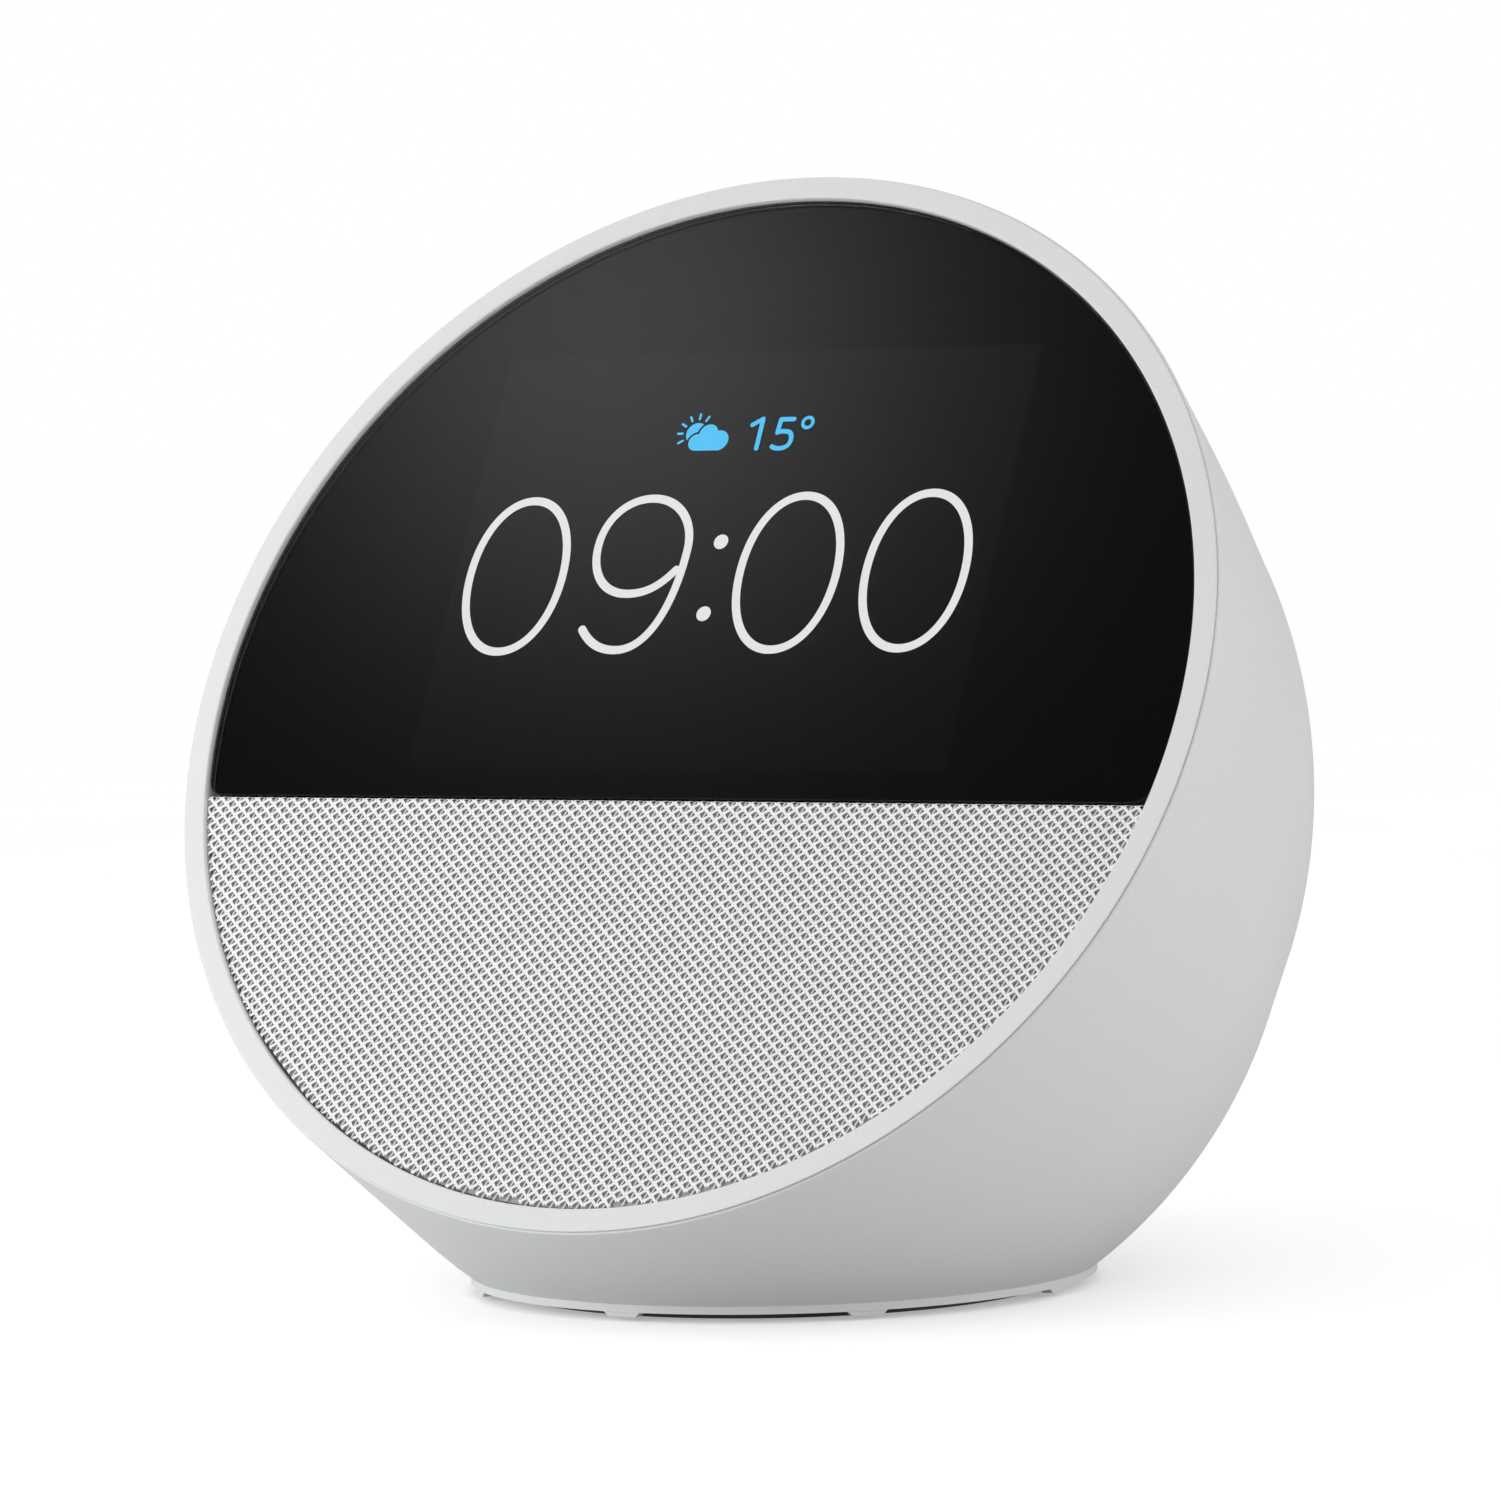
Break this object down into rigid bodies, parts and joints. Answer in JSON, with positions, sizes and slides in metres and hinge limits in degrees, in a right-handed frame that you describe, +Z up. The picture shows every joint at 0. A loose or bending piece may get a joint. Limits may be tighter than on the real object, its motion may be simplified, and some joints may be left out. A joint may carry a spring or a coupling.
{
  "type": "smart speaker with clock display",
  "caption": "Round smart speaker with a tilted face: clock display above, knit mesh speaker grille below, ball-shaped housing on a flat round base.",
  "frame": {"origin": "centre of the outline's bounding box, on the surface that the speaker stands on", "axes": "+Z up; the face looks towards -Y and leans back 28 degrees; +X is to the right seen from the front"},
  "size_m": [0.113, 0.0992, 0.1094],
  "materials": {
    "shell_plastic": "fine satin, cool white",
    "bezel_plastic": "fine satin, cool white",
    "key_plastic": "fine satin, cool white",
    "base_plastic": "satin",
    "grille_plastic": "satin",
    "dark_plastic": "matt moulded",
    "cover_glass": "clear with a black printed back",
    "panel_film": "polariser film",
    "knit_cloth": "open knit mesh",
    "foot_rubber": "matt",
    "black_rubber": "soft",
    "foam_tape": "thin foam",
    "steel": "zinc plated",
    "magnet_ferrite": "sintered, matt",
    "aluminium_sheet": "plain rolled",
    "copper": "bright copper",
    "circuit_board": "solder mask",
    "chip_resin": "moulded resin",
    "cone_paper": "pressed paper",
    "spider_cloth": "resin-stiffened cloth",
    "wire_cover": "smooth"
  },
  "bodies": {
    "housing": {"rear_housing": "shell_plastic", "front_bezel": "bezel_plastic", "display_glass": "cover_glass", "glass_tape": "foam_tape", "lcd_panel": "panel_film", "lcd_backlight": "steel", "display_bracket": "dark_plastic", "bracket_screws": "steel", "grille_cloth": "knit_cloth", "grille_frame": "grille_plastic", "speaker_gasket": "foam_tape", "speaker_basket": "steel", "speaker_surround": "black_rubber", "speaker_spider": "spider_cloth", "magnet_top_plate": "steel", "speaker_magnet": "magnet_ferrite", "magnet_yoke": "steel", "speaker_terminals": "copper", "speaker_chamber": "dark_plastic", "speaker_screws": "steel", "main_board": "circuit_board", "processor_shield": "steel", "board_parts": "chip_resin", "heat_spreader": "aluminium_sheet", "board_screws": "steel", "wifi_antenna": "circuit_board", "key_board": "circuit_board", "key_switches": "chip_resin", "microphones": "steel", "microphone_boots": "black_rubber", "key_board_screws": "steel", "power_jack": "dark_plastic", "jack_pin": "steel", "base_plate": "base_plastic", "base_screws": "steel", "foot_ring": "foot_rubber", "display_flex": "copper", "key_flex": "copper", "speaker_wires": "wire_cover", "power_wires": "wire_cover"},
    "cone": {"speaker_cone": "cone_paper", "dust_cap": "cone_paper", "voice_coil": "copper"},
    "volume_down": {"volume_down_key": "key_plastic", "volume_down_plunger": "dark_plastic"},
    "microphone_button": {"microphone_key": "key_plastic", "microphone_plunger": "dark_plastic"},
    "volume_up": {"volume_up_key": "key_plastic", "volume_up_plunger": "dark_plastic"}
  },
  "joints": [
    {"name": "volume_down_press", "type": "slide", "parent": "housing", "child": "volume_down", "axis": [0, -0.6157, -0.788], "range_m": [0, 0.0004], "stiffness_N_per_m": 600, "springref_m": -0.0015},
    {"name": "microphone_press", "type": "slide", "parent": "housing", "child": "microphone_button", "axis": [0, -0.6157, -0.788], "range_m": [0, 0.0004], "stiffness_N_per_m": 600, "springref_m": -0.0015},
    {"name": "volume_up_press", "type": "slide", "parent": "housing", "child": "volume_up", "axis": [0, -0.6157, -0.788], "range_m": [0, 0.0004], "stiffness_N_per_m": 600, "springref_m": -0.0015},
    {"name": "cone_stroke", "type": "slide", "parent": "housing", "child": "cone", "axis": [0, -0.8829, 0.4695], "range_m": [-0.0012, 0.0012], "stiffness_N_per_m": 2500, "deforming": ["speaker_surround", "speaker_spider"]}
  ]
}
